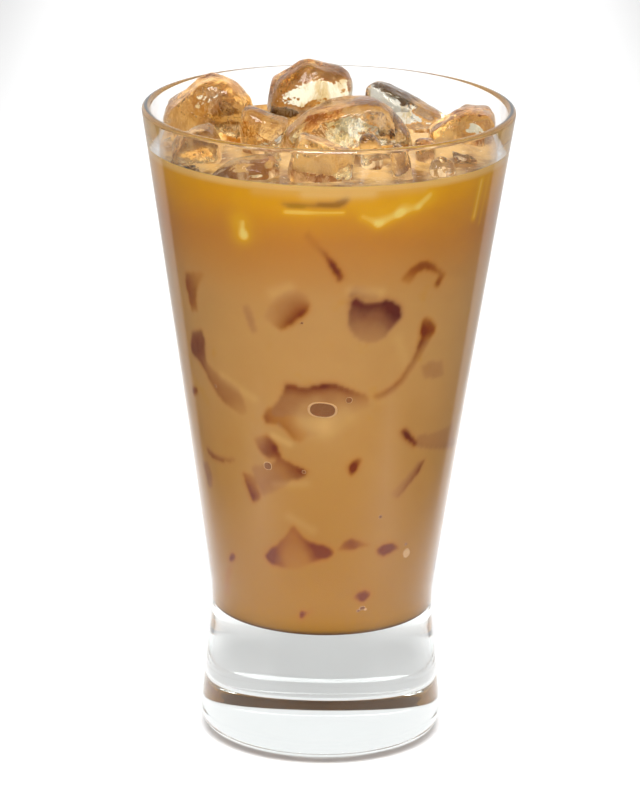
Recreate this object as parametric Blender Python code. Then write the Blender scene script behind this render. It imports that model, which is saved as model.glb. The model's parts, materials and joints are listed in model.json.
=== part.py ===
"""Iced milk coffee in a flared tumbler with a thick, heavy foot.

The tumbler, the drink and each piece of ice that stands out of the drink are separate closed solids.
The origin is on the table, under the middle of the foot, and +Z points up.
"""

import math
import random
from typing import NamedTuple

import bmesh
import bpy
from mathutils import Euler, Vector

MM = 0.001

# Tumbler, outside. Each station is a radius and a height above the table.
GLASS_HEIGHT = 150.0 * MM
FOOT_RADIUS = 28.0 * MM  # the widest ring of the foot
FOOT_RING_HEIGHT = 6.0 * MM
FOOT_EDGE_RADIUS = 25.9 * MM  # where the sloped underside meets the foot's rounded edge
FOOT_EDGE_HEIGHT = 2.5 * MM
REST_RADIUS = 22.0 * MM  # outer edge of the flat ring that the glass stands on
HOLLOW_RADIUS = 20.4 * MM  # inner edge of that ring, round the hollow under the foot
HOLLOW_TOP_RADIUS = 18.2 * MM  # the flat top of the hollow
HOLLOW_DEPTH = 2.0 * MM
WAIST_RADIUS = 25.25 * MM  # where the foot's line and the wall's line would meet
WAIST_HEIGHT = 32.8 * MM
WAIST_BLEND = 5.5 * MM  # the two lines are blended this far above and below the waist
RIM_RADIUS = 42.8 * MM

# Tumbler, inside.
RIM_WALL = 2.0 * MM
FLOOR_WALL = 3.0 * MM  # wall thickness just above the floor
FLOOR_HEIGHT = 30.0 * MM  # the solid glass under the drink
FLOOR_DISH = 0.5 * MM  # the floor is a little lower in its middle
FLOOR_CORNER = 4.5 * MM

# Drink.
DRINK_LEVEL = 140.5 * MM
MENISCUS_RISE = 0.8 * MM
MENISCUS_WIDTH = 2.2 * MM
GAP = 0.3 * MM  # clearance between neighbouring solids

SEGMENTS = 64
DRINK_SEGMENTS = 56


class Ice(NamedTuple):
    """One piece of ice: its middle and size in millimetres, its turn about X, Y and Z in degrees."""

    place: tuple
    size: tuple
    turn: tuple
    top: float  # how wide its top is, as a share of its foot
    seed: int


# Width, depth and height are before the turn. The pieces are crowded together and lean on each other.
ICE_PIECES = {
    "ice_back_left": Ice((-25.0, 4.8, 144.4), (20.5, 17, 20), (8, -17, 28), 0.85, 3),
    "ice_back": Ice((-4.5, 19.0, 146.9), (20, 16, 20), (4, -8, 12), 0.86, 5),
    "ice_back_right": Ice((18.7, 18.3, 142.6), (21.5, 10, 10.5), (0, 27, -12), 0.74, 8),
    "ice_middle": Ice((4.6, 0.2, 141.3), (29.5, 14.5, 13), (4, -10, 8), 0.84, 13),
    "ice_middle_left": Ice((-14.8, -11.0, 143.9), (12.5, 10, 16), (0, 7, 8), 0.90, 21),
    "ice_left_front": Ice((-28.3, -14.8, 141.5), (9, 14.6, 16), (0, 0, 28), 0.42, 34),
    "ice_front_left": Ice((-19.0, -27.6, 139.7), (15.2, 7.6, 11), (6, -8, -33), 0.75, 55),
    "ice_front": Ice((-0.7, -29.4, 141.1), (15.6, 13.5, 16), (2, 10, 0), 0.90, 89),
    "ice_front_right": Ice((8.9, -18.6, 141.2), (7.5, 8, 14), (0, 4, -12), 0.78, 144),
    "ice_front_right_low": Ice((14.6, -27.2, 140.9), (9, 8.5, 15), (0, 6, 24), 0.80, 145),
    "ice_right_small": Ice((21.4, -13.6, 140.1), (8, 8, 12), (0, 4, 30), 0.76, 610),
    "ice_right_front": Ice((24.3, -23.1, 139.6), (11, 7.6, 12), (0, 4, 45), 0.80, 233),
    "ice_back_low_left": Ice((-21.6, 23.2, 139.2), (10, 9, 11), (4, -6, 40), 0.84, 987),
    "ice_back_low_right": Ice((12.6, 30.2, 138.8), (15, 8.5, 11), (-3, 5, -22), 0.82, 1597),
    "ice_right": Ice((30.3, 1.8, 141.8), (15.5, 16, 16.5), (0, 7, 30), 0.88, 377),
}
ICE_CORNER_SHIFT = 0.10  # how far a corner strays, as a share of the piece's size
ICE_ROUNDING = 0.20  # bevel width, as a share of the piece's smallest side
ICE_ROUNDING_STEPS = 2


def arc(centre, radius, start, end, steps):
    """Points on an ellipse's arc from start to end, in degrees; radius is (across, up)."""
    points = []
    for i in range(steps + 1):
        angle = math.radians(start + (end - start) * i / steps)
        points.append(
            (centre[0] + radius[0] * math.cos(angle), centre[1] + radius[1] * math.sin(angle))
        )
    return points


def wall_slope():
    return (RIM_RADIUS - WAIST_RADIUS) / (GLASS_HEIGHT - WAIST_HEIGHT)


def outer_radius(height):
    """The straight, flared part of the outside."""
    return WAIST_RADIUS + wall_slope() * (height - WAIST_HEIGHT)


def wall_thickness(height):
    share = (height - FLOOR_HEIGHT) / (GLASS_HEIGHT - FLOOR_HEIGHT)
    return FLOOR_WALL + (RIM_WALL - FLOOR_WALL) * share


def inner_radius(height):
    return outer_radius(height) - wall_thickness(height)


def bend(low, middle, high, steps):
    """Points on a smooth curve from low to high that leaves and arrives in the direction of middle."""
    shares = [i / steps for i in range(steps + 1)]
    return [tuple(low * (1 - t) ** 2 + middle * 2 * t * (1 - t) + high * t**2) for t in shares]


def waist_curve(steps):
    """A smooth bend from the foot's line to the wall's line."""
    foot_slope = (WAIST_RADIUS - FOOT_RADIUS) / (WAIST_HEIGHT - FOOT_RING_HEIGHT)
    low = Vector((WAIST_RADIUS - foot_slope * WAIST_BLEND, WAIST_HEIGHT - WAIST_BLEND))
    middle = Vector((WAIST_RADIUS, WAIST_HEIGHT))
    high = Vector((outer_radius(WAIST_HEIGHT + WAIST_BLEND), WAIST_HEIGHT + WAIST_BLEND))
    return bend(low, middle, high, steps)


def hollow_curve(steps):
    """The hollow under the foot, from its middle out to the flat resting ring."""
    points = [(0, HOLLOW_DEPTH)]
    for i in range(steps + 1):
        t = i / steps
        radius = HOLLOW_TOP_RADIUS + (HOLLOW_RADIUS - HOLLOW_TOP_RADIUS) * t
        points.append((radius, HOLLOW_DEPTH * (1 + math.cos(math.pi * t)) / 2))
    return points


def foot_curve(steps):
    """The sloped underside from the resting ring out, then the rounded edge up to the widest ring."""
    slope = FOOT_EDGE_HEIGHT / (FOOT_EDGE_RADIUS - REST_RADIUS)
    low = Vector((FOOT_EDGE_RADIUS, FOOT_EDGE_HEIGHT))
    middle = Vector((FOOT_RADIUS, FOOT_EDGE_HEIGHT + slope * (FOOT_RADIUS - FOOT_EDGE_RADIUS)))
    high = Vector((FOOT_RADIUS, FOOT_RING_HEIGHT))
    return [(REST_RADIUS, 0)] + bend(low, middle, high, steps)


def floor_curve(inset, steps):
    """The cavity's floor from its corner to the axis, moved inwards by inset."""
    corner_height = FLOOR_HEIGHT + FLOOR_CORNER
    radius = FLOOR_CORNER - inset
    centre = (inner_radius(corner_height) - FLOOR_CORNER, corner_height)
    points = arc(centre, (radius, radius), 0, -90, steps)
    dished = (centre[0] / 2, FLOOR_HEIGHT - FLOOR_DISH * 3 / 4 + inset)
    return points + [dished, (0, FLOOR_HEIGHT - FLOOR_DISH + inset)]


def glass_outline():
    """The tumbler's section from the middle of the underside, up the outside and down the inside."""
    lip = RIM_WALL / 2
    lip_height = GLASS_HEIGHT - lip
    return (
        hollow_curve(4)
        + foot_curve(5)
        + waist_curve(6)
        + [(outer_radius(h * MM), h * MM) for h in (66, 94, 122)]
        + arc((outer_radius(lip_height) - lip, lip_height), (lip, lip), 0, 180, 6)
        + [(inner_radius(h * MM), h * MM) for h in (122, 94, 66)]
        + floor_curve(0, 5)
    )


def drink_outline():
    """The drink's section from the middle of its underside, up its side and in along its surface."""
    wall = inner_radius(DRINK_LEVEL) - GAP
    side = [(inner_radius(h * MM) - GAP, h * MM) for h in (66, 94, 122)]
    meniscus = []
    for i in range(4):
        t = i / 3
        meniscus.append((wall - MENISCUS_WIDTH * t, DRINK_LEVEL + MENISCUS_RISE * (1 - t) ** 2))
    return floor_curve(GAP, 4)[::-1] + side + meniscus + [(0, DRINK_LEVEL)]


def turned_mesh(name, outline, segments):
    """A closed solid of revolution. The outline starts and ends on the axis and runs anticlockwise."""
    mesh = bmesh.new()
    rings = []
    for radius, height in outline:
        if radius < 1e-7:
            rings.append([mesh.verts.new((0, 0, height))])
            continue
        ring = []
        for i in range(segments):
            angle = 2 * math.pi * i / segments
            ring.append(mesh.verts.new((radius * math.cos(angle), radius * math.sin(angle), height)))
        rings.append(ring)
    for low, high in zip(rings, rings[1:]):
        for i in range(segments):
            j = (i + 1) % segments
            corners = [low[i % len(low)], low[j % len(low)], high[j % len(high)], high[i % len(high)]]
            mesh.faces.new(list(dict.fromkeys(corners)))
    bmesh.ops.recalc_face_normals(mesh, faces=mesh.faces)
    data = bpy.data.meshes.new(name)
    mesh.to_mesh(data)
    mesh.free()
    return data


def ice_mesh(name, piece, grow=0.0):
    """A block with strayed corners and rounded edges, each point moved outwards by grow."""
    chance = random.Random(piece.seed)
    size = Vector(piece.size) * MM
    mesh = bmesh.new()
    bmesh.ops.create_cube(mesh, size=1.0)
    for corner in mesh.verts:
        stray = Vector(chance.uniform(-1, 1) * ICE_CORNER_SHIFT for _ in range(3))
        narrowing = piece.top if corner.co.z > 0 else 1.0
        corner.co = (corner.co * Vector((narrowing, narrowing, 1)) + stray) * size
    bmesh.ops.bevel(
        mesh,
        geom=list(mesh.edges),
        offset=min(size) * ICE_ROUNDING,
        segments=ICE_ROUNDING_STEPS,
        profile=0.5,
        affect="EDGES",
    )
    bmesh.ops.triangulate(mesh, faces=mesh.faces)
    mesh.normal_update()
    for point in mesh.verts:
        point.co += point.normal * grow
    data = bpy.data.meshes.new(name)
    mesh.to_mesh(data)
    mesh.free()
    return data


def principled(name, colour, roughness, transmission=0.0, ior=1.45):
    material = bpy.data.materials.new(name)
    material.use_nodes = True
    shader = material.node_tree.nodes["Principled BSDF"]
    shader.inputs["Base Color"].default_value = (*colour, 1)
    shader.inputs["Roughness"].default_value = roughness
    shader.inputs["Metallic"].default_value = 0.0
    shader.inputs["Transmission Weight"].default_value = transmission
    shader.inputs["IOR"].default_value = ior
    return material


def add_object(name, data, material=None):
    thing = bpy.data.objects.new(name, data)
    bpy.context.scene.collection.objects.link(thing)
    if material is not None:
        data.materials.append(material)
    data.shade_smooth()
    data.set_sharp_from_angle(angle=math.radians(40))
    return thing


def put_ice(thing, piece):
    thing.location = Vector(piece.place) * MM
    thing.rotation_euler = Euler([math.radians(a) for a in piece.turn])


def make_glass():
    glass = principled("clear_glass", (0.93, 0.96, 0.96), 0.03, transmission=1.0, ior=1.5)
    return add_object("glass", turned_mesh("glass", glass_outline(), SEGMENTS), glass)


def make_ice():
    clear = principled("clear_ice", (0.95, 0.93, 0.89), 0.06, transmission=1.0, ior=1.31)
    for name, piece in ICE_PIECES.items():
        put_ice(add_object(name, ice_mesh(name, piece), clear), piece)


def make_drink():
    """The drink up to its surface, cut round each piece of ice."""
    milk_coffee = principled("milk_coffee", (0.53, 0.26, 0.06), 0.25)
    drink = add_object("coffee", turned_mesh("coffee", drink_outline(), DRINK_SEGMENTS), milk_coffee)
    for name, piece in ICE_PIECES.items():
        cutter = add_object("cutter_" + name, ice_mesh("cutter_" + name, piece, grow=1.2 * GAP))
        put_ice(cutter, piece)
        cutter.hide_render = True
        cutter.display_type = "WIRE"
        cut = drink.modifiers.new("room_for_" + name, "BOOLEAN")
        cut.object = cutter
        cut.operation = "DIFFERENCE"
        cut.solver = "EXACT"
    return drink


def main():
    for old in list(bpy.data.objects):
        bpy.data.objects.remove(old)
    make_glass()
    make_ice()
    make_drink()


main()
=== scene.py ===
"""Looks of the iced milk coffee: tumbler, drink, ice in it and on it, bubbles and stage."""

import json
import math
import random

import bmesh
import bpy
import numpy as np
from bpy.props import FloatProperty, FloatVectorProperty, IntProperty, PointerProperty
from mathutils import Euler, Matrix, Vector, noise
from mathutils.bvhtree import BVHTree

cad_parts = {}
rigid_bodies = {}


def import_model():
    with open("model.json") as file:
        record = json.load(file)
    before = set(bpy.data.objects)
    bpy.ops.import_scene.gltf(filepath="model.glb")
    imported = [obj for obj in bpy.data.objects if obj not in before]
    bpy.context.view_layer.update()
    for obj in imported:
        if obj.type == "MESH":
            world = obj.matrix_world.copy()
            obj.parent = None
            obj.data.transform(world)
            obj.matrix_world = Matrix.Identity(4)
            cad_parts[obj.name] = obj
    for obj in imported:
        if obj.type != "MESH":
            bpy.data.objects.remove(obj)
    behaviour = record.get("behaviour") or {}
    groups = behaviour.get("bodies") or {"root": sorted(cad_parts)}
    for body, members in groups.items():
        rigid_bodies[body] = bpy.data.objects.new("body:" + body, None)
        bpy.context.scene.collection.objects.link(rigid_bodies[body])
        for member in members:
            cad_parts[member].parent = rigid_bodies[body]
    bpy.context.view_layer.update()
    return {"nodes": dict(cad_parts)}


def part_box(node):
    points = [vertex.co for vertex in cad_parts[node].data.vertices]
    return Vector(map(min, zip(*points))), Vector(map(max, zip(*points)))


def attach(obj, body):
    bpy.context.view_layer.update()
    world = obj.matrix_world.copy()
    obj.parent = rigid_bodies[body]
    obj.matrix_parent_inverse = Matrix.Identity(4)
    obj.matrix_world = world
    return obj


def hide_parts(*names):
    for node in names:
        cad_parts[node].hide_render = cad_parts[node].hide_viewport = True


bl_info = {
    "name": "Iced milk coffee",
    "version": (1, 0, 0),
    "blender": (4, 5, 0),
    "location": "3D View > Sidebar > Drink",
    "description": "Makes a tumbler of iced milk coffee, one group of pieces at a time",
    "category": "Add Mesh",
}

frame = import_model()
GLASS_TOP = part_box("glass")[1].z
STANDING_ICE = sorted(name for name in frame["nodes"] if name.startswith("ice_"))

MM = 0.001
BODY = "root"


# ---------------------------------------------------------------- settings


def size_setting(name, description, default):
    return FloatProperty(name=name, description=description, default=default, unit="LENGTH")


def colour_setting(name, description, default):
    return FloatVectorProperty(
        name=name, description=description, default=default, subtype="COLOR", size=3, min=0, max=1
    )


class TumblerSettings(bpy.types.PropertyGroup):
    """Sizes of the tumbler and the colour of its glass."""

    height: size_setting("Height", "From the table to the rim", GLASS_TOP)
    rim_radius: size_setting("Rim radius", "Where the flared wall would reach the rim's height", 0.0428)
    waist_radius: size_setting("Waist radius", "Outside, where foot and wall meet", 0.02525)
    waist_height: size_setting("Waist height", "Above the table", 0.0328)
    waist_blend: size_setting("Waist blend", "Reach of the soft bend above and below the waist", 0.0055)
    foot_radius: size_setting("Foot radius", "Widest ring of the foot", 0.028)
    foot_ring_height: size_setting("Foot ring height", "Height of the widest ring", 0.006)
    rest_radius: size_setting("Rest radius", "Outer edge of the flat ring that it stands on", 0.0223)
    foot_edge_radius: size_setting("Foot edge radius", "Where the cone from the flat ring turns up", 0.0263)
    foot_edge_height: size_setting("Foot edge height", "Height of that edge", 0.0019)
    hollow_radius: size_setting("Hollow radius", "Hollow under the foot, at the table", 0.0204)
    hollow_top_radius: size_setting("Hollow top radius", "Flat top of the hollow", 0.0182)
    hollow_depth: size_setting("Hollow depth", "Depth of the hollow", 0.002)
    rim_wall: size_setting("Rim wall", "Thickness of the glass at the rim", 0.002)
    floor_wall: size_setting("Floor wall", "Thickness of the wall just above the floor", 0.003)
    floor_height: size_setting("Floor height", "Solid glass under the drink", 0.030)
    floor_dish: size_setting("Floor dish", "How much lower the floor's middle is", 0.0005)
    floor_corner: size_setting("Floor corner", "Radius between floor and wall", 0.0045)
    tint: colour_setting("Tint", "Colour that thick glass lets through", (0.74, 0.80, 0.79))
    density: FloatProperty(
        name="Density", description="How fast the tint builds up, to the metre of glass", default=10.0
    )


class DrinkSettings(bpy.types.PropertyGroup):
    """Level and colours of the drink."""

    level: size_setting("Level", "Height of the surface above the table", 0.1405)
    overlap: size_setting("Overlap", "How far the drink reaches into the glass and into the ice", 0.00018)
    body_colour: colour_setting("Body", "Well below the surface", (0.70, 0.40, 0.130))
    low_colour: colour_setting("Low down", "Near the bottom", (0.48, 0.21, 0.006))
    top_colour: colour_setting("Lit top", "Just below the surface, lit through the ice", (0.79, 0.365, 0.004))
    warm_colour: colour_setting("Upper third", "Between the lit top and the body", (0.63, 0.265, 0.036))
    cloud_colour: colour_setting("Clouds", "Where more coffee hangs in the body", (0.44, 0.17, 0.012))
    smear_colour: colour_setting("Smears", "Coffee drawn out over the middle", (0.66, 0.33, 0.03))
    # Painted shade where sunk ice comes near the glass: the clear ice gets little light and looks dark
    # through the thin drink. Painted light where a lit edge of that ice lets reddish light through.
    thin_ice_shade: colour_setting("Over cool ice", "Thin drink before clear ice", (0.46, 0.185, 0.08))
    thin_lit_ice: colour_setting("Over warm ice", "Thin drink before a lit edge of ice", (0.56, 0.195, 0.012))
    ice_shade_colour: colour_setting("Cool ice", "Where clear ice comes near", (0.115, 0.016, 0.010))
    lit_ice_colour: colour_setting("Warm ice", "Where a lit edge of ice comes near", (0.23, 0.036, 0.0))
    # Painted light in the pale streaks under the surface and round the ice; the same colour pales the
    # meniscus.
    pale_colour: colour_setting("Pale streaks", "Milk round the ice and at the surface", (0.90, 0.59, 0.21))
    glow_colour: colour_setting("Glow", "Round the glints", (0.90, 0.50, 0.012))
    glint_colour: colour_setting("Glints", "Spots where the ice gathers light", (1.0, 0.78, 0.20))
    # Painted shade: a dark line where the drink's side turns under.
    bottom_shade_colour: colour_setting("Bottom edge", "Thin line where the side turns under", (0.20, 0.085, 0.02))
    surface_colour: colour_setting("Surface", "Coffee on the open surface", (0.24, 0.092, 0.01))
    milk_colour: colour_setting("Milk", "Milk on the open surface", (0.60, 0.34, 0.10))
    froth_colour: colour_setting("Froth", "Fine froth on the open surface", (0.85, 0.68, 0.42))
    bed_colour: colour_setting("Bed", "Where the drink meets standing ice", (0.30, 0.115, 0.018))
    bed_light: colour_setting("Bed, lit", "Milk against standing ice", (0.90, 0.72, 0.48))
    bed_deep: colour_setting("Bed, specks", "Coffee specks against standing ice", (0.40, 0.17, 0.03))


class IceSettings(bpy.types.PropertyGroup):
    """How the ice is melted."""

    dent: size_setting("Dents", "Depth of the hollows in a piece", 0.0012)
    ripple: size_setting("Ripples", "Height of the waves on a melting face", 0.0006)
    tint: colour_setting("Tint", "Colour of the ice", (0.99, 0.98, 0.965))
    film: colour_setting("Film", "Streaks where the drink clings to the ice", (0.58, 0.36, 0.09))
    stain: colour_setting("Stain", "Colour that thick ice lets through", (0.88, 0.70, 0.12))
    density: FloatProperty(
        name="Density", description="How fast the stain builds up, to the metre of ice", default=32.0
    )
    hidden_pieces: IntProperty(
        name="Sunk pieces at the back", description="Sunk ice round the sides and the back of the drink",
        default=24, min=0,
    )


class StageSettings(bpy.types.PropertyGroup):
    """Camera, floor and light."""

    camera_distance: size_setting("Distance", "Camera to its aim", 1.2)
    camera_rise: FloatProperty(
        name="Elevation", description="Camera's angle above the horizon",
        default=math.radians(16.65), subtype="ANGLE",
    )
    camera_roll: FloatProperty(
        name="Roll", description="Turn about the line of sight", default=math.radians(0.81), subtype="ANGLE"
    )
    lens: FloatProperty(name="Lens", description="Focal length", default=233.3, unit="CAMERA")
    aim: FloatVectorProperty(
        name="Aim", description="What the camera looks at", subtype="XYZ", size=3, unit="LENGTH",
        default=(-0.0011, 0.0, 0.0801),
    )
    floor_size: size_setting("Floor", "Side of the floor", 8.0)
    lamp_size: size_setting("Lamp", "Side of the square lamp", 0.8)
    lamp_power: FloatProperty(name="Lamp power", description="Light of the lamp", default=38.0, unit="POWER")
    lamp_tilt: FloatProperty(
        name="Lamp tilt", description="Turned from straight down towards the tumbler",
        default=math.radians(41), subtype="ANGLE",
    )


# ---------------------------------------------------------------- materials


class Value:
    """A number that a socket gives, so that maths on it is written as an expression."""

    def __init__(self, sheet, socket):
        self.sheet = sheet
        self.socket = socket

    def __add__(self, other):
        return self.sheet.maths("ADD", self, other)

    def __radd__(self, other):
        return self.sheet.maths("ADD", other, self)

    def __sub__(self, other):
        return self.sheet.maths("SUBTRACT", self, other)

    def __rsub__(self, other):
        return self.sheet.maths("SUBTRACT", other, self)

    def __mul__(self, other):
        return self.sheet.maths("MULTIPLY", self, other)

    def __rmul__(self, other):
        return self.sheet.maths("MULTIPLY", other, self)

    def clamped(self):
        return self.sheet.maths("MAXIMUM", self.sheet.maths("MINIMUM", self, 1.0), 0.0)


class Sheet:
    """The node sheet of a material or a world, filled one node at a time."""

    def __init__(self, owner):
        owner.use_nodes = True
        self.owner = owner
        self.tree = owner.node_tree

    def node(self, kind, settings=None, sockets=None):
        """Adds a node, sets its settings, then gives its sockets, by name or number, values or links."""
        made = self.tree.nodes.new(kind)
        for name, value in (settings or {}).items():
            setattr(made, name, value)
        for key, value in (sockets or {}).items():
            named = (s for s in made.inputs if s.enabled and s.name == key)
            self.give(made.inputs[key] if isinstance(key, int) else next(named), value)
        return made

    def give(self, socket, value):
        """Sets or links one socket."""
        if isinstance(value, Value):
            self.tree.links.new(value.socket, socket)
        elif isinstance(value, bpy.types.NodeSocket):
            self.tree.links.new(value, socket)
        elif socket.type == "RGBA":
            socket.default_value = (*value, 1)
        else:
            socket.default_value = value

    def maths(self, operation, first, second):
        made = self.node("ShaderNodeMath", {"operation": operation}, {0: first, 1: second})
        return Value(self, made.outputs[0])

    def mix(self, share, first, second):
        """A colour that goes from first to second as share goes from 0 to 1."""
        sockets = {"Factor": share, "A": first, "B": second}
        made = self.node("ShaderNodeMix", {"data_type": "RGBA"}, sockets)
        return next(s for s in made.outputs if s.enabled)

    def stored(self, name):
        """A number kept on the mesh's points."""
        made = self.node("ShaderNodeAttribute", {"attribute_name": name})
        return Value(self, made.outputs["Fac"])

    def place(self):
        return self.node("ShaderNodeTexCoord").outputs["Object"]

    def clouds(self, place, scale, detail=2.0, roughness=0.5):
        """Soft noise from 0 to 1, with scale patches to the metre."""
        sockets = {"Vector": place, "Scale": scale, "Detail": detail, "Roughness": roughness}
        return Value(self, self.node("ShaderNodeTexNoise", None, sockets).outputs[0])

    def axis(self, place, letter):
        return Value(self, self.node("ShaderNodeSeparateXYZ", None, {"Vector": place}).outputs[letter])

    def between(self, value, low, high):
        """Goes smoothly from 0 at low to 1 at high."""
        sockets = {"Value": value, "From Min": low, "From Max": high}
        made = self.node("ShaderNodeMapRange", {"interpolation_type": "SMOOTHSTEP"}, sockets)
        return Value(self, made.outputs[0])

    def bump(self, height, strength, distance):
        sockets = {"Height": height, "Strength": strength, "Distance": distance}
        return self.node("ShaderNodeBump", None, sockets).outputs["Normal"]

    def fill(self, colour, density):
        """Colours the light that passes through the material, more where it is thick."""
        inside = self.node("ShaderNodeVolumeAbsorption", None, {"Color": colour, "Density": density})
        self.give(self.tree.nodes["Material Output"].inputs["Volume"], inside.outputs["Volume"])

    def shade(self, sockets):
        """Sets the main shader's sockets and returns the material."""
        shader = self.tree.nodes["Principled BSDF"]
        for name, value in sockets.items():
            self.give(shader.inputs[name], value)
        return self.owner


GLASS_IOR, ICE_IOR, DRINK_IOR, BUBBLE_IOR = 1.5, 1.31, 1.35, 1.2


def clear_glass(settings):
    """Pressed soda-lime glass, hardly uneven, with faint water marks."""
    sheet = Sheet(bpy.data.materials.new("clear_glass"))
    place = sheet.place()
    marks = sheet.between(sheet.clouds(place, 90.0, 4.0), 0.55, 0.8)
    swell = sheet.clouds(place, 45.0, 1.0)
    sheet.fill(settings.tint, settings.density)
    return sheet.shade({
        "Base Color": (1.0, 1.0, 1.0),
        "Roughness": 0.004 + 0.02 * marks,
        "IOR": GLASS_IOR,
        "Transmission Weight": 1.0,
        "Normal": sheet.bump(swell, 0.2, 0.3 * MM),
    })


def clear_ice(settings):
    """Wet, melting ice: clear, with streaks of the drink on it and a fine frost that comes and goes."""
    sheet = Sheet(bpy.data.materials.new("clear_ice"))
    place = sheet.place()
    frost = sheet.between(sheet.clouds(place, 160.0, 5.0, 0.6), 0.52, 0.72)
    drawn = sheet.node("ShaderNodeMapping", None, {"Vector": place, "Scale": (1.0, 1.0, 0.4)})
    drawn = drawn.outputs["Vector"]
    film = sheet.between(sheet.clouds(drawn, 210.0, 4.0, 0.62), 0.50, 0.62)
    waves = sheet.clouds(place, 230.0, 3.0) + 0.4 * sheet.clouds(drawn, 800.0, 2.0)
    sheet.fill(settings.stain, settings.density)
    return sheet.shade({
        "Base Color": sheet.mix(0.85 * film, settings.tint, settings.film),
        "Roughness": 0.015 + 0.09 * frost,
        "IOR": ICE_IOR,
        "Transmission Weight": 1.0,
        "Normal": sheet.bump(waves, 0.55, 0.9 * MM),
    })


def drink_body(settings):
    """Milk coffee behind glass: painted light near the top, lit through the ice, and painted shade where ice
    comes near the glass.
    """
    sheet = Sheet(bpy.data.materials.new("drink_body"))
    place = sheet.place()
    height = sheet.axis(place, "Z")
    cloudy = sheet.clouds(place, 38.0, 3.0)
    streaky = sheet.clouds(place, 150.0, 2.0)
    depth = (settings.level - height) + 0.010 * (cloudy - 0.5)
    # Painted light: the top is lit through the ice, fading with depth.
    lit = 1.0 - sheet.between(depth, 0.002, 0.014)
    warm = 1.0 - sheet.between(depth, 0.010, 0.032)
    body = sheet.mix(sheet.between(height, 0.026, 0.100), settings.low_colour, settings.body_colour)
    body = sheet.mix(0.22 * cloudy + 0.10 * streaky, body, settings.cloud_colour)
    colour = sheet.mix(lit, sheet.mix(warm, body, settings.warm_colour), settings.top_colour)
    smears = sheet.between(sheet.clouds(place, 130.0, 4.0, 0.6), 0.55, 0.75)
    middle = sheet.between(height, 0.075, 0.090) * (1.0 - sheet.between(height, 0.110, 0.122))
    colour = sheet.mix(0.45 * smears * middle, colour, settings.smear_colour)
    # Painted shade where sunk ice comes near the glass; where a lit edge of the ice gives it, it turns to
    # painted reddish light.
    near = (sheet.stored("shade_near_ice") * (0.9 + 0.4 * sheet.clouds(place, 260.0, 3.0))).clamped()
    warmth = sheet.stored("warm_ice")
    thin = sheet.mix(warmth, settings.thin_ice_shade, settings.thin_lit_ice)
    thick = sheet.mix(warmth, settings.ice_shade_colour, settings.lit_ice_colour)
    glint = sheet.stored("glint")
    # Over the body in turn: the painted shade of sunk ice, thin then thick, the pale streaks of painted light
    # and the pale meniscus, the painted glow and glints, then the painted shade line at the bottom edge.
    for share, over in (
        ((1.25 * near).clamped(), thin),
        ((1.3 * near * near).clamped(), thick),
        (sheet.stored("pale"), settings.pale_colour),
        ((1.4 * glint).clamped(), settings.glow_colour),
        ((1.8 * glint - 0.8).clamped(), settings.glint_colour),
        (sheet.stored("rim"), settings.bottom_shade_colour),
    ):
        colour = sheet.mix(share, colour, over)
    return sheet.shade(
        {"Base Color": colour, "Roughness": 0.6, "IOR": DRINK_IOR, "Specular IOR Level": 0.0}
    )


def drink_surface(settings):
    """The open, wet surface of the drink, with paler milk and fine froth in it."""
    sheet = Sheet(bpy.data.materials.new("drink_surface"))
    place = sheet.place()
    froth = sheet.between(sheet.clouds(place, 700.0, 3.0, 0.7), 0.5, 0.75)
    milk = sheet.between(sheet.clouds(place, 110.0, 4.0, 0.6), 0.36, 0.62)
    colour = sheet.mix(milk, settings.surface_colour, settings.milk_colour)
    return sheet.shade({
        "Base Color": sheet.mix(0.3 * froth, colour, settings.froth_colour),
        "Roughness": 0.12 + 0.2 * froth,
        "IOR": DRINK_IOR,
        "Normal": sheet.bump(froth, 0.3, 0.3 * MM),
    })


def drink_bed(settings):
    """The drink against standing ice, seen through it: patches of milk and of coffee."""
    sheet = Sheet(bpy.data.materials.new("drink_bed"))
    place = sheet.place()
    patchy = sheet.between(sheet.clouds(place, 210.0, 4.0, 0.6), 0.40, 0.58)
    specks = sheet.clouds(place, 620.0, 2.0)
    colour = sheet.mix(patchy, settings.bed_colour, settings.bed_light)
    colour = sheet.mix(0.3 * specks, colour, settings.bed_deep)
    return sheet.shade(
        {"Base Color": colour, "Roughness": 0.5, "IOR": DRINK_IOR, "Specular IOR Level": 0.0}
    )


def sunk_ice_in_shade_and_light(settings):
    """Ice inside the drink, mixing at random the colours of the painted shade and painted light that sunk ice
    gives the drink.
    """
    sheet = Sheet(bpy.data.materials.new("sunk_ice"))
    # The stain here only mixes the painted shade and painted light colours at random.
    stain = sheet.clouds(sheet.place(), 120.0, 3.0)
    return sheet.shade({
        "Base Color": sheet.mix(stain, settings.ice_shade_colour, settings.lit_ice_colour),
        "Roughness": 0.15 + 0.2 * stain,
        "IOR": ICE_IOR,
    })


def bubble_finish(name, patches, first, second, roughness):
    """A part of the air bubbles, uneven between two colours, with so many patches to the metre."""
    sheet = Sheet(bpy.data.materials.new(name))
    colour = sheet.mix(sheet.clouds(sheet.place(), patches, 2.0), first, second)
    return sheet.shade({"Base Color": colour, "Roughness": roughness, "IOR": BUBBLE_IOR})


# ---------------------------------------------------------------- shapes


def bend(low, middle, high, steps):
    """Points along a soft curve from low to high, pulled towards middle."""
    shares = [i / steps for i in range(steps + 1)]
    return [tuple(low * (1 - t) ** 2 + middle * 2 * t * (1 - t) + high * t**2) for t in shares]


def arc(centre, radius, start, end, steps):
    """Points along a circle from start to end, in degrees."""
    angles = [math.radians(start + (end - start) * i / steps) for i in range(steps + 1)]
    return [(centre[0] + radius * math.cos(a), centre[1] + radius * math.sin(a)) for a in angles]


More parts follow.
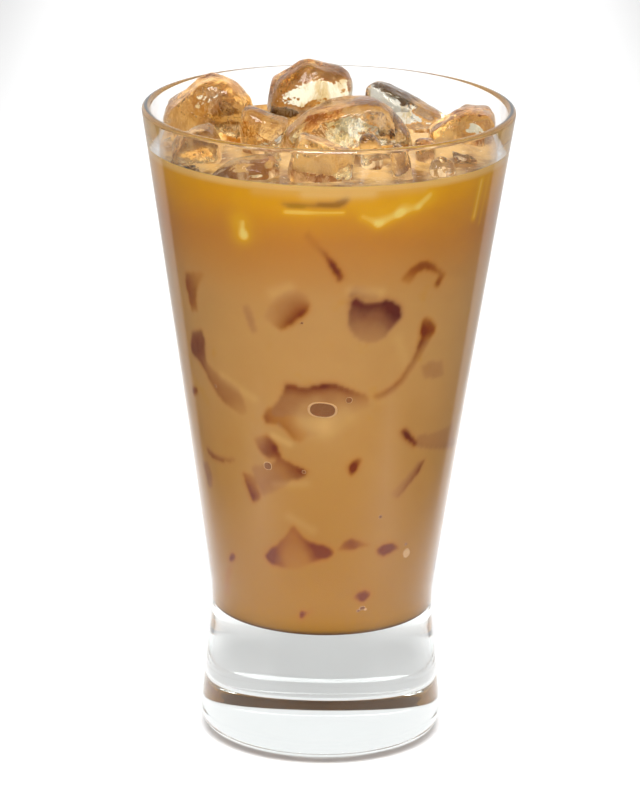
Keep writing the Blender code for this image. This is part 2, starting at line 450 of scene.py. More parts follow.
class Wall:
    """The tumbler's outline, and the radii of its wall at any height."""

    rings = 17
    ring_step = 0.006

    def __init__(self, settings):
        self.sizes = s = settings
        self.slope = (s.rim_radius - s.waist_radius) / (s.height - s.waist_height)

    def outer(self, height):
        return self.sizes.waist_radius + self.slope * (height - self.sizes.waist_height)

    def inner(self, height):
        s = self.sizes
        share = (height - s.floor_height) / (s.height - s.floor_height)
        return self.outer(height) - s.floor_wall - (s.rim_wall - s.floor_wall) * share

    def waist(self, steps):
        s = self.sizes
        foot_slope = (s.waist_radius - s.foot_radius) / (s.waist_height - s.foot_ring_height)
        low = Vector((s.waist_radius - foot_slope * s.waist_blend, s.waist_height - s.waist_blend))
        top = s.waist_height + s.waist_blend
        return bend(low, Vector((s.waist_radius, s.waist_height)), Vector((self.outer(top), top)), steps)

    def floor(self, drop, steps):
        """The cavity's floor from its corner to the axis; drop moves it out and down into the glass."""
        s = self.sizes
        corner = s.floor_height + s.floor_corner
        centre = (self.inner(corner) - s.floor_corner, corner)
        points = arc(centre, s.floor_corner + drop, 0, -90, steps)
        for i in range(1, steps + 1):
            share = 1 - i / steps
            dish = s.floor_dish * (1 - share**2)
            points.append((centre[0] * share, s.floor_height - drop - dish))
        return points

    def hollow(self, steps):
        """The hollow's flat top, then its soft side down to the table."""
        s = self.sizes
        points = [(0.0, s.hollow_depth), (s.hollow_top_radius * 0.5, s.hollow_depth)]
        for i in range(steps + 1):
            t = i / steps
            radius = s.hollow_top_radius + (s.hollow_radius - s.hollow_top_radius) * t
            points.append((radius, s.hollow_depth * (0.5 + 0.5 * math.cos(math.pi * t))))
        return points

    def foot_side(self, steps):
        """From the flat ring out along a cone, then up through a soft bend to the widest ring."""
        s = self.sizes
        low = Vector((s.foot_edge_radius, s.foot_edge_height))
        slope = s.foot_edge_height / (s.foot_edge_radius - s.rest_radius)
        middle = Vector((s.foot_radius, low.y + slope * (s.foot_radius - low.x)))
        high = Vector((s.foot_radius, s.foot_ring_height))
        return [(s.rest_radius, 0.0), *bend(low, middle, high, steps)]

    def outline(self):
        s = self.sizes
        lip = s.rim_wall / 2
        lip_height = s.height - lip
        heights = [s.waist_height + s.waist_blend + i * self.ring_step for i in range(1, self.rings + 1)]
        return (
            self.hollow(12)
            + self.foot_side(14)
            + self.waist(16)
            + [(self.outer(h), h) for h in heights]
            + arc((self.outer(lip_height) - lip, lip_height), lip, 0, 180, 14)
            + [(self.inner(h), h) for h in reversed(heights)]
            + self.floor(0.0, 12)
        )


def turned_mesh(name, outline, turns):
    """A closed solid of revolution. The outline starts and ends on the axis; turns are angles from -Y."""
    points, faces, rings = [], [], []
    segments = len(turns)
    for radius, height in outline:
        count = 1 if radius < 1e-7 else segments
        rings.append(range(len(points), len(points) + count))
        for angle in turns[:count]:
            points.append((radius * math.sin(angle), -radius * math.cos(angle), height))
    for low, high in zip(rings, rings[1:]):
        for i in range(segments):
            j = (i + 1) % segments
            corners = [low[i % len(low)], low[j % len(low)], high[j % len(high)], high[i % len(high)]]
            faces.append(list(dict.fromkeys(corners)))
    return mesh_of(name, points, faces)


def mesh_of(name, points, faces):
    data = bpy.data.meshes.new(name)
    data.from_pydata([tuple(p) for p in points], [], faces)
    data.shade_smooth()
    return data


def joined(parts):
    """The points and faces of several parts as those of one mesh."""
    points, faces = [], []
    for places, corners in parts:
        faces.extend([len(points) + i for i in c] for c in corners)
        points.extend(places)
    return points, faces


def put(name, data):
    """Adds an object to the scene."""
    thing = bpy.data.objects.new(name, data)
    bpy.context.scene.collection.objects.link(thing)
    return thing


def add_piece(name, data, nodes, materials):
    """Puts a mesh into the scene as a piece that rides on the drink's body."""
    piece = put(name, data)
    data.materials.clear()
    for material in materials:
        data.materials.append(material)
    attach(piece, BODY)
    if nodes:
        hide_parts(*nodes)


def from_points(data, name="co"):
    """The places of a mesh's points, or their normals, as rows of three numbers."""
    rows = np.empty(len(data.vertices) * 3, np.float32)
    data.vertices.foreach_get(name, rows)
    return rows.reshape(-1, 3)


def store(data, name, values):
    """Keeps a number on each of a mesh's points."""
    attribute = data.attributes.new(name, "FLOAT", "POINT")
    attribute.data.foreach_set("value", np.asarray(values, np.float32))


def ball(steps):
    """Points and faces of an even ball of radius 1."""
    mesh = bmesh.new()
    bmesh.ops.create_icosphere(mesh, subdivisions=steps, radius=1.0)
    points = np.array([v.co[:] for v in mesh.verts])
    faces = [[v.index for v in f.verts] for f in mesh.faces]
    mesh.free()
    return points, faces


def relaxed(places, faces, rounds):
    """Moves each point halfway to the middle of its neighbours, which rounds edges."""
    triangles = np.array(faces)
    first = np.concatenate([triangles[:, 0], triangles[:, 1], triangles[:, 2]])
    second = np.concatenate([triangles[:, 1], triangles[:, 2], triangles[:, 0]])
    count = np.bincount(first, minlength=len(places))[:, None]
    for _ in range(rounds):
        total = np.zeros_like(places)
        np.add.at(total, first, places[second])
        places = places * 0.5 + total / count * 0.5
    return places


def melt(places, faces, settings, seed, dents, rounding):
    """Turns a block into melting ice: shallow scoops, rounded edges and soft ripples."""
    chance = random.Random(seed)
    middle = places.mean(0)
    reach = np.linalg.norm(places - middle, axis=1)
    for _ in range(dents):
        aim = np.array([chance.gauss(0, 1) for _ in range(3)])
        aim /= np.linalg.norm(aim)
        along = (places - middle) @ aim
        radius = chance.uniform(0.6, 1.4) * reach.mean()
        centre = middle + aim * (along.max() - settings.dent * chance.uniform(0.5, 1.0) + radius)
        away = places - centre
        distance = np.linalg.norm(away, axis=1)
        inside = distance < radius
        places[inside] = (centre + away / distance[:, None] * radius)[inside]
    places = relaxed(places, faces, rounding)
    offset = Vector([chance.uniform(-1, 1) for _ in range(3)])
    out = places - middle
    out /= np.linalg.norm(out, axis=1)[:, None]
    waves = np.array([ripple(Vector(p), offset) for p in places])
    return places - out * (settings.ripple * (1 + waves))[:, None]


def ripple(place, offset):
    """A wave height from -1 to 1: broad waves, 150 to the metre, and fine ones, 480 to the metre."""
    broad = noise.noise(place * 150 + offset * 20)
    fine = noise.noise(place * 480 + offset * 50)
    return 0.75 * broad + 0.25 * fine


def wrapped_ball(solid, steps):
    """An even ball drawn onto a solid, seen from its middle: close, fine triangles over its shape."""
    corners = from_points(solid).astype(float)
    low, high = corners.min(0), corners.max(0)
    middle = Vector((low + high) / 2)
    tree = BVHTree.FromPolygons([Vector(c) for c in corners], [list(p.vertices) for p in solid.polygons])
    aims, faces = ball(steps)
    places = []
    for aim in aims * (high - low) / 2:
        hit = tree.ray_cast(middle, Vector(aim).normalized())[0]
        places.append(middle if hit is None else hit)
    return np.array(places), faces


# ---------------------------------------------------------------- standing ice

# The ice that stands out of the drink, seen from the front. For each piece: how far back its broadest
# section stands, how far its front and its back reach from there, the side where its back is cut away in
# degrees from +X towards the top, then the corners of that section as (across, above the table).
# Lengths are millimetres.
STANDING_SHAPES = {
    "ice_back_left": (5, 8.5, 8.5, 70, [
        (-37, 134.1), (-37.9, 139.7), (-38.6, 145.2), (-37.9, 148.7), (-36.8, 149.4), (-34.1, 152.1),
        (-29.3, 155.8), (-26.6, 156.6), (-23.4, 156), (-20.6, 154.9), (-18.8, 152.7), (-17.2, 150.6),
        (-16.2, 148.1), (-16.6, 142.4), (-18.1, 134.4),
    ]),
    "ice_back": (19, 7.5, 7.5, 125, [
        (-14, 134.8), (-15.4, 140.7), (-15, 145.5), (-14.1, 148.5), (-13.6, 152.1), (-12.3, 153),
        (-10.5, 154), (-8.7, 155.7), (-7.1, 156.8), (-4.8, 157.1), (-2.2, 156.4), (0.8, 155.4), (3.3, 155.2),
        (4.7, 154.3), (5.7, 152.4), (6.2, 150.3), (6, 146.9), (5.4, 142.2), (4.1, 135),
    ]),
    "ice_back_right": (18.3, 4.6, 4.6, 250, [
        (7.6, 148.1), (7.9, 150.2), (9.1, 151.4), (10.8, 151.9), (12.6, 151.5), (14.4, 150.9), (15.9, 149.7),
        (18.5, 148.2), (21.5, 146.5), (24.5, 145), (27.1, 144.3), (27.8, 142.4), (26.3, 137.9), (22.2, 135),
        (17.5, 135.4), (13.3, 140.6), (9.5, 144.8),
    ]),
    "ice_middle": (0.5, 6.3, 6.6, 300, [
        (-11.7, 138.9), (-12, 141.7), (-10.2, 144.5), (-6.3, 147.4), (-5.2, 149.3), (-1.8, 150.5),
        (2.3, 151.2), (5.2, 151.9), (7.5, 152.3), (10.4, 152.3), (12.5, 151.7), (14.2, 150.3), (15.7, 148.7),
        (17.4, 146.3), (19, 144.3), (20, 141.5), (19.4, 136.1), (-8.7, 135.2),
    ]),
    "ice_middle_left": (-11.5, 5.2, 4.2, 120, [
        (-20.1, 135.7), (-20.4, 148), (-20.4, 151.2), (-19.6, 152.9), (-18.1, 153.4), (-16.7, 152.7),
        (-14.9, 151.3), (-10.3, 150.1), (-8.8, 150.4), (-8.1, 149.3), (-10.1, 147.2), (-11.9, 144.4),
        (-12.7, 135.8),
    ]),
    "ice_left_front": (-15, 6, 5.5, 150, [
        (-33.8, 134.5), (-35.3, 140.5), (-35.9, 144.7), (-33.2, 147.7), (-30.3, 148.9), (-27.8, 149.7),
        (-26.5, 149.6), (-25.1, 147.6), (-23.5, 145.1), (-22.8, 140.7), (-24.1, 134.7),
    ]),
    "ice_front_left": (-27.6, 3.6, 4.2, 180, [
        (-25.3, 134.6), (-26.2, 138.3), (-26.7, 140.4), (-24.8, 142.2), (-22.1, 144.1), (-18.6, 144.6),
        (-15.7, 144), (-12.1, 144.5), (-10.3, 143.1), (-10, 134.8),
    ]),
    "ice_front": (-29, 5.8, 6.2, 80, [
        (-9.1, 134.1), (-9.2, 142.1), (-8.8, 145.1), (-7.9, 147.4), (-7.5, 149.5), (-6.9, 151), (-5.7, 151.3),
        (-4.4, 150.6), (-1.9, 149.3), (1.4, 148.3), (4.8, 147.6), (6.3, 146.7), (6.4, 142.8), (6.1, 134.3),
    ]),
    "ice_front_right": (-20, 3.8, 4.5, 100, [
        (7.5, 135), (7.4, 141.2), (6.6, 144.7), (6.4, 147.5), (7.2, 149), (8.8, 149.2), (10.6, 148.7),
        (11.7, 147.3), (12.7, 144.8), (12.6, 135.1),
    ]),
    "ice_front_right_low": (-26, 4.2, 4, 60, [
        (13.9, 135.2), (13.3, 142.8), (13.5, 146.5), (14.4, 148.1), (15.7, 148.4), (17.1, 147), (18.7, 144.1),
        (19.2, 139.9), (18.6, 135.3),
    ]),
    "ice_right_small": (-13.2, 4.2, 4.2, 120, [
        (19.4, 136.2), (18.9, 142), (18.8, 145.5), (19.7, 146.6), (21.7, 146.9), (23.7, 146.6), (24.7, 144.9),
        (25, 141), (24.4, 136.3),
    ]),
    "ice_right_front": (-23, 4, 3.8, 90, [
        (21.6, 135.5), (21.5, 140.6), (22.5, 143.6), (25.2, 144.6), (27.7, 143.7), (28.6, 141.6),
        (27.6, 136.5),
    ]),
    "ice_right": (1.8, 8, 8, 150, [
        (22.9, 134.4), (21.9, 141.9), (22.2, 145.1), (24.2, 146.8), (26.9, 148.4), (28.7, 149.9),
        (31.4, 150.5), (33.9, 150.5), (36.9, 149.7), (38.3, 148.8), (38.6, 146.8), (37.8, 139.8),
        (36.1, 134.6),
    ]),
}

# Loose shards between those pieces: across, back, above the table and mean size in millimetres.
SHARDS = [
    (-37, -6, 139.5, 4), (-30.5, -23.5, 139.6, 3.6), (-13.5, -19.5, 140.6, 4.2), (-4, -14.5, 141, 4.6),
    (4.5, -13, 141.5, 4.4), (14.5, -13.5, 140.8, 4), (10.5, -31.5, 139, 3.4), (30.5, -13, 140.5, 4.2),
    (33.5, -20, 139.4, 3.4), (-18.5, 19, 141.5, 4.6), (-27.5, 24, 140.4, 5), (-9, 31, 140, 4.6),
    (13, 30.5, 140, 4.8), (26.5, 24.5, 140.2, 4.4), (33.5, 14, 140.4, 4.2), (11, 9.5, 141, 4.6),
    (-37.5, 10.5, 139.8, 3.8), (2, 34.5, 139.6, 3.6),
]


def standing_block(shape, seed):
    """The block that melts into a standing piece: a broad section, and large facets to both sides of it."""
    back, to_front, to_back, lean, corners = shape
    chance = random.Random(seed)
    middle = Vector((sum(c[0] for c in corners), sum(c[1] for c in corners))) / len(corners)
    block = bmesh.new()
    for reach, slant, share, every, stray in (
        (0.0, 0.0, 1.0, 1, 0.4),
        (-0.75 * to_front, 0.0, 0.92, 2, 0.7),
        (-1.1 * to_front, 0.15, 0.62, 3, 1.0),
        (0.8 * to_back, 0.75, 0.97, 2, 0.7),
        (1.45 * to_back, 0.8, 0.82, 3, 1.0),
    ):
        start = chance.randrange(every)
        for across, height in corners[start::every]:
            side = math.atan2(height - middle.y, across - middle.x) - math.radians(lean)
            place = (
                middle.x + (across - middle.x) * share,
                back + reach * (1 - slant * (0.5 + 0.5 * math.cos(side))) + chance.uniform(-stray, stray),
                middle.y + (height - middle.y) * share,
            )
            block.verts.new([p * MM for p in place])
    return hull_of(block)


def shard_block(shape, seed):
    """A small block with nine crooked corners."""
    across, back, height, size = shape
    chance = random.Random(seed)
    block = bmesh.new()
    for i in range(9):
        turn = i * 2.4 + chance.uniform(-0.3, 0.3)
        up = chance.uniform(-0.9, 0.9)
        flat = math.sqrt(1 - up * up)
        reach = size * chance.uniform(0.8, 1.15)
        place = (
            across + reach * flat * math.cos(turn),
            back + reach * flat * math.sin(turn),
            height + reach * up * 0.8,
        )
        block.verts.new([p * MM for p in place])
    return hull_of(block)


def hull_of(block):
    """A mesh of the tight skin round a block's points."""
    made = bmesh.ops.convex_hull(block, input=block.verts)
    loose = [v for v in made["geom_interior"] if isinstance(v, bmesh.types.BMVert)]
    bmesh.ops.delete(block, geom=loose, context="VERTS")
    bmesh.ops.recalc_face_normals(block, faces=block.faces)
    data = bpy.data.meshes.new("block")
    block.to_mesh(data)
    block.free()
    return data


def kept_apart(places, middle, others, gap):
    """Pulls the points that lie inside an earlier piece back towards this one's middle."""
    middle = Vector(middle)
    for low, high, tree in others:
        for i in np.flatnonzero(((places > low) & (places < high)).all(1)):
            place = Vector(places[i])
            nearest, normal, _, _ = tree.find_nearest(place)
            if (place - nearest).dot(normal) > gap:
                continue
            inward = (middle - place).normalized()
            start = place - inward * (4 * MM)
            while True:
                hit, facing, _, _ = tree.ray_cast(start, inward)
                if hit is None:
                    break
                start = hit + inward * gap
                if facing.dot(inward) > 0:
                    places[i] = start
                    break
    return places


def kept_inside(places, wall, gap):
    """Pulls the points that lie in the glass back to the axis."""
    across = np.hypot(places[:, 0], places[:, 1])
    limit = wall.inner(np.minimum(places[:, 2], wall.sizes.height)) - gap
    places[:, :2] *= np.minimum(1.0, limit / np.maximum(across, 1e-6))[:, None]
    return places


# ---------------------------------------------------------------- sunk ice

# The faces of sunk ice that come near the glass, which give the drink's side its painted shade. Each is a
# strip between two edges, with a warmth at each edge, from 0 for clear ice in mauve painted shade to 1 for a
# lit edge of ice in rusty painted light. Then each row has a point of one edge and the point across from it:
# degrees round the drink from the front towards +X, millimetres above the table, and millimetres behind the
# glass. An edge near the glass gives crisp, dark painted shade, a deeper one fades out.
SUNK_ICE = {
    "block": (0.25, 0, [
        (8.5, 113.8, 0.2, 8.1, 107.9, 1.7), (10.6, 114.8, 0.15, 10.5, 105.5, 2.3),
        (12.4, 113.9, 0.2, 13.3, 104.2, 2.7), (15.1, 113.2, 0.3, 16.4, 103.6, 2.9),
        (18, 113.2, 0.3, 19.5, 103.7, 2.9), (21, 113.7, 0.15, 22.2, 104.5, 2.3),
        (23.3, 113.5, 0.05, 24.4, 106.1, 1.3), (25.9, 112.5, 0.05, 26.6, 107.6, 0.9),
        (27.8, 111.4, 0.1, 28.6, 109.2, 0.5),
    ]),
    "block_halo": (0, 0, [
        (8, 114.7, 1.2, 7.9, 117.6, 4.5), (10.5, 115.4, 1.2, 10.3, 117.8, 4),
        (13.1, 114.6, 2.2, 13.2, 117.5, 4.2), (15.7, 114, 2.8, 15.8, 116.9, 4.5),
        (18.7, 113.9, 3.2, 18.8, 116.3, 5),
    ]),
    "wedge": (1, 0.15, [
        (-16.8, 106.2, 1.4, -23.3, 108.9, 4.5), (-14.1, 107.4, 0.6, -21.5, 111.4, 4),
        (-11, 108.9, 0.2, -18.2, 114.3, 3.6), (-8.4, 110.5, 0.12, -14, 116.2, 3.6),
        (-6.6, 111.7, 0.4, -10.1, 116.4, 4), (-5.5, 112.7, 1.2, -6.5, 115.1, 4.5),
    ]),
    "arch": (1, 1, [
        (26.6, 118, 2, 30.3, 117, 3), (28.2, 119.8, 1.1, 32.1, 118.3, 1.7),
        (30.8, 121.2, 0.8, 33.6, 119.5, 1), (33.9, 122, 0.8, 36, 119.9, 0.8),
        (36.8, 122.1, 0.8, 38.2, 119.6, 0.8), (40.2, 120.9, 1, 40.1, 119.1, 0.9),
        (43.9, 119.1, 1.7, 42.8, 117.8, 1.4), (46.7, 117.8, 2.3, 44.1, 116.4, 1.1),
    ]),
    "arch_end": (1, 1, [
        (45.8, 117.4, 1.4, 42.5, 117.3, 1.3), (44.7, 116.1, 0.7, 41.6, 116.2, 0.9),
        (43.6, 114.8, 1.1, 42.1, 115.2, 1.5),
    ]),
    "streak": (0.9, 0.8, [
        (-6.1, 130.7, 2, -8.1, 129.5, 3), (-4.1, 129.1, 2.4, -6.4, 127.8, 3.5),
        (-1.7, 127, 1.6, -3.7, 126, 3), (0.7, 124.9, 0.6, -0.7, 123.9, 1.4),
        (2.8, 123.2, 0.25, 1.1, 122, 0.6), (4.5, 121.5, 0.15, 2.9, 120.1, 0.4),
        (6, 119.6, 0.5, 4, 118.1, 1.4),
    ]),
    "lit_edge_left": (1, 1, [
        (-59.9, 115.6, 1.3, -48.1, 117.3, 3.9), (-61, 113, 0.8, -52.4, 113.8, 2),
        (-60.7, 110.2, 0.8, -54.4, 111.2, 1.3), (-60.2, 107.9, 1.1, -55.1, 108.9, 1.3),
        (-59.4, 106.3, 2, -55.2, 107, 2.4),
    ]),
    "blob": (1, 1, [
        (38.7, 108.3, 1.4, 42.2, 107.7, 1.9), (37.4, 106.8, 0.6, 44.4, 106, 1),
        (37.9, 104.8, 0.32, 45.2, 104.2, 1), (38.1, 102.8, 0.4, 42.7, 102.1, 2.1),
    ]),
    "tail": (0.7, 0.4, [
        (38.1, 102.8, 0.2, 42.7, 102.1, 1.8), (36.6, 100.3, 0.8, 40.4, 99.7, 3),
        (35, 98.2, 1, 38.4, 97.7, 3.2), (32.5, 95.9, 1, 35.6, 95.2, 3.2), (30.4, 94, 0.8, 32.8, 93, 3.2),
        (27.1, 92.3, 0.9, 29.1, 91.1, 3.2), (23.4, 91, 1.2, 24.8, 89.8, 3.4), (19.6, 90.4, 1.8, 21, 89.2, 4),
    ]),
    "left_wedge": (0.5, 0.3, [
        (-61.7, 101, 1.4, -54, 102.8, 1.5), (-63.7, 98.2, 0.8, -53, 100.3, 1),
        (-64.1, 95.8, 0.6, -53.8, 97.8, 1), (-59.1, 94.6, 0.6, -53.4, 95.1, 1.7),
        (-56.2, 92.8, 0.9, -49.6, 93.5, 3.1), (-53.1, 90.3, 1.3, -42.1, 92, 2.9),
        (-49.5, 87.7, 1.4, -37.3, 90.6, 2.7), (-45.8, 86.2, 1.6, -35.2, 88.6, 2.7),
        (-41.6, 85, 2.6, -34.1, 86.5, 3.1), (-36.5, 84, 3.6, -33.4, 84.9, 3.9),
    ]),
    "centre_top": (0.6, 0.5, [
        (-15.6, 93.4, 0.35, -17.8, 90.5, 1.5), (-12.3, 93.2, 0.35, -13.3, 90.5, 1.8),
        (-8.7, 92.9, 0.5, -8.8, 90.2, 1.7), (-4.8, 93.2, 0.2, -4.8, 90.8, 1.9),
        (-1.2, 93.7, 0.1, -0.8, 90.9, 1.9), (2.3, 93.9, 0.12, 2.8, 91, 1.9), (5.9, 93.4, 0.25, 6.4, 90.9, 2),
        (9.5, 92.5, 0.6, 9.7, 90.6, 1.8), (13.2, 91.7, 1, 13.4, 90, 2.2), (17.4, 90.7, 1.8, 17.6, 89.3, 2.8),
    ]),
    "centre_low": (0.3, 0.2, [
        (-17.8, 90.5, 1.5, -24.9, 84.4, 1.6), (-13.3, 90.5, 1.8, -18, 82.4, 2),
        (-8.8, 90.2, 1.7, -10.3, 80.8, 2.8), (-4.8, 90.8, 1.9, -5.2, 80.9, 3.6),
        (-0.8, 90.9, 1.9, -0.6, 81.5, 4), (2.8, 91, 1.9, 3.1, 82.5, 4.2), (6.4, 90.9, 2, 6.8, 84, 4.2),
        (9.7, 90.6, 1.8, 10.4, 85.9, 4.2), (13.4, 90, 2.2, 14.5, 87.2, 4.4),
        (17.6, 89.3, 2.8, 18.6, 88.1, 4.6),
    ]),
    "centre_left": (1, 0.95, [
        (-26.3, 84.7, 1.1, -23.7, 87.4, 1.8), (-25.1, 83.1, 0.8, -21.1, 87.3, 2),
        (-21.9, 83.1, 1.2, -18.1, 87, 2.4), (-18.4, 83.3, 1.4, -14.3, 86.5, 2.2),
        (-16.3, 81.7, 1.2, -11, 85.2, 2.1), (-13.8, 79.9, 1.5, -8.1, 83.1, 2.6),
        (-10.4, 79, 2.6, -6.5, 80.9, 3.6),
    ]),
    "tent_top": (0.9, 0.8, [
        (-24.9, 80.4, 1.4, -31.4, 78.9, 2.6), (-22.3, 79.1, 0.6, -30.2, 77, 1.6),
        (-20.6, 77.8, 0.35, -28.5, 75.4, 1.1), (-19.6, 76.1, 0.45, -26.1, 74.6, 1.3),
        (-18.1, 75.2, 1.2, -24.3, 74, 2),
    ]),
    "tent_right": (0.75, 0.5, [
        (-19.9, 75.3, 0.8, -26.5, 71.4, 2.6), (-16.8, 74.5, 0.8, -21.9, 69.7, 2.4),
        (-13.2, 73.6, 0.6, -16.7, 69.3, 1.9), (-10.1, 72.8, 0.4, -12, 69.8, 1.2),
        (-7, 72.2, 0.5, -8.4, 70.8, 0.9),
    ]),
    "tent_low": (1, 0.9, [
        (-39, 69.5, 1.2, -34.5, 69.7, 2.2), (-38.1, 67.4, 0.5, -32.1, 68.2, 1.8),
        (-36.5, 65.3, 0.25, -30.9, 66.3, 1.5), (-35.2, 63.4, 0.25, -30, 64.9, 1.5),
        (-34.2, 62.6, 0.8, -29.7, 63.7, 2.2),
    ]),
    "tent_middle": (0.35, 0.3, [
        (-34.2, 71.7, 2.8, -19.6, 73.8, 2.2), (-33, 69.3, 2.4, -16, 72.6, 1.9),
        (-30.8, 66.8, 2, -14.3, 70.2, 2), (-29.1, 64.5, 2.8, -17.7, 67.7, 3.2),
    ]),
    "arc_left": (0.5, 0.3, [
        (-63.7, 72.5, 1.6, -61.5, 73.3, 3), (-60.8, 71.2, 0.7, -57, 72.5, 2.4),
        (-55.4, 70.7, 0.6, -52.7, 72.2, 2.6), (-49.6, 71, 0.9, -47.9, 72.4, 3),
        (-43.1, 71.8, 2, -42.3, 72.8, 3.6),
    ]),
    "spot": (0.85, 0.85, [
        (15.8, 75.6, 1.8, 17.2, 74.5, 2.4), (13.6, 74.9, 0.6, 15.5, 73.6, 0.7),
        (11.4, 73.9, 0.3, 14.7, 72.6, 0.3), (10.7, 72.7, 0.35, 13.5, 71.7, 0.5),
        (11.2, 71.2, 1.4, 12.7, 70.7, 1.6),
    ]),
    "right_dark": (0.7, 0.5, [
        (33.6, 80.9, 0.4, 36.5, 81.7, 1.4), (35.5, 79.5, 0.1, 38.4, 80.3, 0.6),
        (38.5, 78, 0.1, 41, 78.8, 0.6), (42.3, 76.4, 0.4, 44.4, 76.9, 1.2),
    ]),
    "right_mauve": (0.1, 0, [
        (42.3, 76.4, 1.9, 42.7, 78.9, 2.4), (48.8, 75.1, 2.4, 48.7, 78.7, 2.8),
        (57.8, 73.8, 2.4, 56.3, 78.3, 3), (69.7, 72.3, 2.5, 63.5, 78.3, 3.2),
        (80.6, 71.4, 3.4, 68.8, 79, 3.6),
    ]),
    "arc_right": (0.4, 0.2, [
        (50.5, 72.3, 1.2, 46.6, 72.5, 3.2), (48.6, 70.6, 0.4, 43.9, 71.3, 3.2),
        (46.6, 69, 0.6, 41.5, 69.8, 3), (43.4, 67.4, 0.9, 38.4, 68.4, 3.2),
        (39.9, 65.5, 1.4, 34.9, 66.9, 3.6), (36.3, 63.8, 2.2, 31.5, 65.5, 4.2),
    ]),
    "low_patch": (1, 0.95, [
        (-29.8, 49.9, 0.1, -29.9, 49.1, 0.1), (-26.7, 51.6, 0.1, -26.7, 47.8, 0.3),
        (-22.6, 53.4, 0.8, -21.2, 47.3, 1.2), (-18.8, 55.6, 1.1, -16.3, 47.2, 2.7),
        (-14.5, 58.4, 1.1, -12.1, 47.4, 2.7), (-11.6, 57, 0.9, -8.4, 48.3, 2.5),
        (-8.3, 55.1, 0.6, -4.8, 49.1, 1.2), (-3.8, 54.1, 0.1, -1.3, 49.9, 0.6),
        (1.1, 53.5, 0.1, 2.2, 50.4, 0.4), (5.1, 52.7, 0.6, 5.7, 51.2, 1),
    ]),
    "low_right": (0.9, 0.9, [
        (7.1, 52.4, 1.6, 8.6, 52.2, 1.8), (10.9, 54.7, 0.9, 12.2, 52.2, 1), (14.9, 55.1, 1, 16.2, 52.4, 0.9),
        (19, 54.4, 1.6, 20.3, 52.7, 1.6), (24.5, 53.4, 3, 25.2, 52.6, 3),
    ]),
    "blot_right": (1, 1, [
        (27.1, 51.5, 1.6, 28.4, 50.4, 1.4), (29.1, 52.3, 0.5, 31.4, 49.9, 0.4),
        (33, 52.7, 0.25, 34.9, 50.1, 0.3), (37.2, 52.5, 0.4, 38.4, 50.6, 0.6),
        (41.3, 51.6, 1.8, 42.2, 50.8, 2),
    ]),
    "fleck_left": (1, 1, [
        (-51.9, 48.5, 1, -50.4, 48.3, 1), (-54.9, 47, 0.3, -50, 47.2, 0.5),
        (-56.1, 45.4, 0.5, -53, 45.6, 1.2),
    ]),
    "fleck_tail": (1, 1, [
        (-59.3, 43.5, 2.6, -53.4, 44.7, 2.2), (-63.2, 40, 2.4, -56.9, 40.8, 2.8),
        (-65.8, 35.9, 3, -59.1, 36.5, 3.4),
    ]),
    "blot_low": (1, 1, [
        (16.3, 40.5, 2, 17.5, 39.5, 1.8), (18.9, 41.3, 0.6, 21, 39, 0.4), (22.3, 41.7, 0.3, 24.5, 39.2, 0.3),
        (26.3, 41.6, 0.8, 27.2, 40.3, 1),
    ]),
    "fleck_low": (1, 1, [
        (-12.7, 36.4, 0.7, -12.2, 34.6, 0.4), (-11, 36.7, 0.4, -10.5, 34.9, 0.3),
        (-8.7, 36.7, 1.2, -8.2, 35.6, 1.4), (-4.8, 37.4, 2.6, -4.3, 36.6, 2.8),
    ]),
    "fleck_edge": (1, 1, [
        (-66.8, 87.4, 1.6, -64.1, 87.3, 1.6), (-69.2, 85.8, 0.8, -63.6, 86.4, 0.9),
        (-68.5, 84.5, 1.4, -65.2, 85.2, 1.6),
    ]),
    "faint_left": (0.05, 0.05, [
        (-69.3, 68.3, 2.4, -63.5, 69.4, 2.8), (-67.7, 65.6, 1.8, -61.3, 66.5, 2.2),
        (-66.6, 62.3, 2.2, -62.1, 63.2, 2.6),
    ]),
    "faint_high": (0, 0, [
        (-31.6, 111.1, 3.2, -29.4, 112, 3.6), (-30.7, 108.2, 2.6, -27.3, 108.8, 3),
        (-28.6, 104.8, 2.9, -26.1, 105.3, 3.4),
    ]),
    "faint_right": (0.05, 0.05, [
        (39.8, 96.3, 3.4, 42.7, 93.1, 3.2), (44.8, 96.8, 3, 48.5, 92.4, 2.8),
        (51.8, 96.4, 3.4, 54.8, 92.1, 3.4),
    ]),
    "front_ice_foot": (0.5, 0.5, [
        (-14.9, 137.2, 0.6, -14.9, 136.4, 1), (-11.6, 137.1, 0.05, -11.6, 136.2, 0.2),
        (-5.7, 137.2, 0.05, -5.7, 136.3, 0.2), (0.1, 137.5, 0.05, 0.1, 136.5, 0.2),
        (3.9, 138.1, 0.05, 4.3, 136.8, 0.2), (6.4, 139.4, 0.3, 7.1, 138.2, 0.8),
    ]),
}

BLOCK_DEPTH = 6 * MM
BLOCK_TAPER = 0.72  # size of a block's inner end against its outer face
LEAST_DEPTH = 0.05  # millimetres behind the glass
GOLDEN = 0.618  # spreads the hidden blocks evenly round the drink


